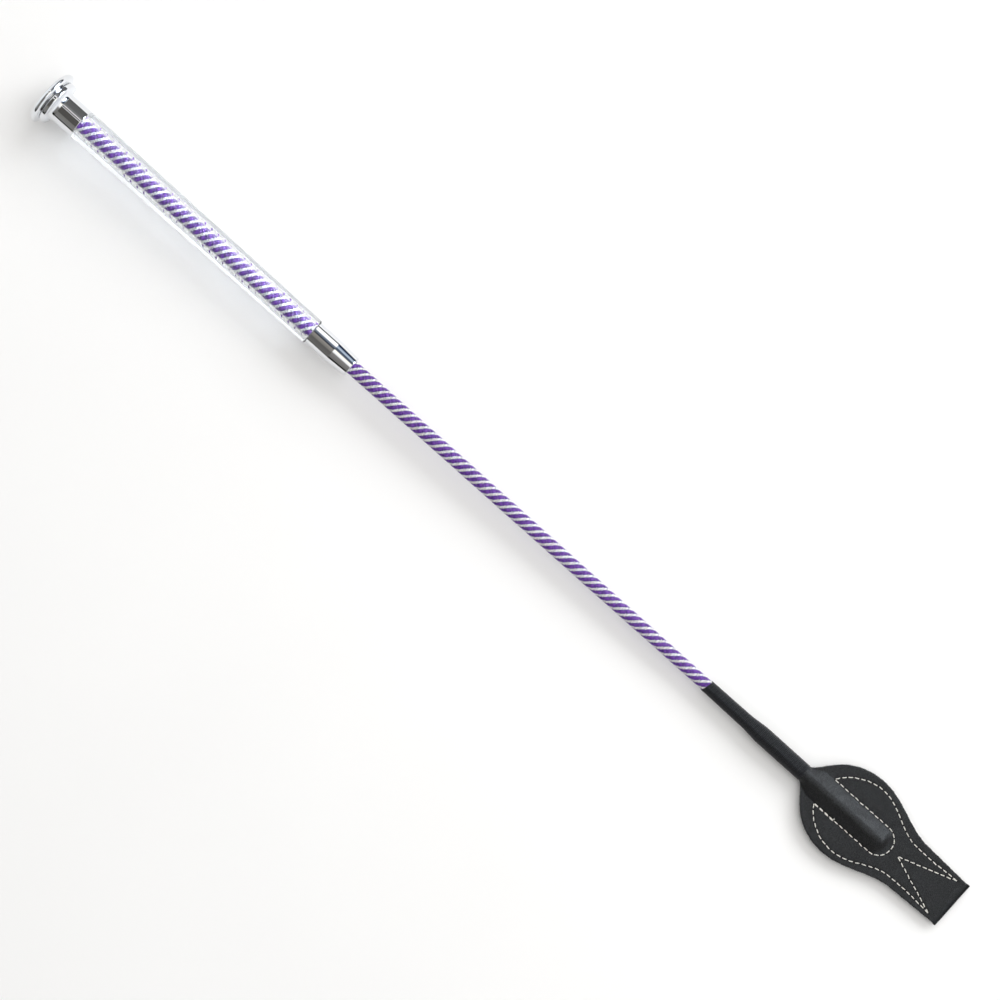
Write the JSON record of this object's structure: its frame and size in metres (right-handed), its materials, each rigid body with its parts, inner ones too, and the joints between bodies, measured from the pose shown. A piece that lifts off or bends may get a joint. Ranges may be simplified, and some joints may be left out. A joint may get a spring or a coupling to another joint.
{
  "type": "riding crop",
  "caption": "Straight riding crop with a braided shaft, chrome mushroom cap, clear grip sleeve, chrome ferrule, thread whipping and a flat stitched leather keeper.",
  "frame": {"origin": "middle of the crop's length, on the axis of the shaft", "axes": "+X along the shaft from the cap to the keeper; the keeper lies flat in the XY plane; +Z out of the keeper's front face"},
  "size_m": [0.65, 0.0504, 0.0322],
  "materials": {
    "chrome": "bright polished plating",
    "bush_plastic": "moulded black",
    "clear_sleeve": "clear soft vinyl, slightly hazy",
    "rod_fibreglass": "pultruded, satin",
    "braid_yarn": "purple yarn with silver metallic threads",
    "tip_rubber": "moulded black",
    "whipping_thread": "twisted blue-black thread",
    "keeper_leather": "black, fine grain",
    "seam_thread": "off-white plied thread"
  },
  "bodies": {
    "crop": {"end_cap": "chrome", "cap_bush": "bush_plastic", "grip_sleeve": "clear_sleeve", "ferrule": "chrome", "ferrule_bush": "bush_plastic", "core_rod": "rod_fibreglass", "braid_cover": "braid_yarn", "rod_tip_cap": "tip_rubber", "whipping": "whipping_thread", "keeper_front_leaf": "keeper_leather", "keeper_back_leaf": "keeper_leather", "needle_stitches_round": "seam_thread", "bobbin_stitches_round": "seam_thread"},
    "keeper_tail": {"keeper_tail": "keeper_leather", "needle_stitches_tail": "seam_thread", "bobbin_stitches_tail": "seam_thread"}
  },
  "joints": [
    {"name": "keeper_flex", "type": "hinge", "parent": "crop", "child": "keeper_tail", "pos_m": [0.2828, 0, 0], "axis": [0, 1, 0], "range_deg": [-60, 60], "stiffness_Nm_per_rad": 0.02}
  ]
}
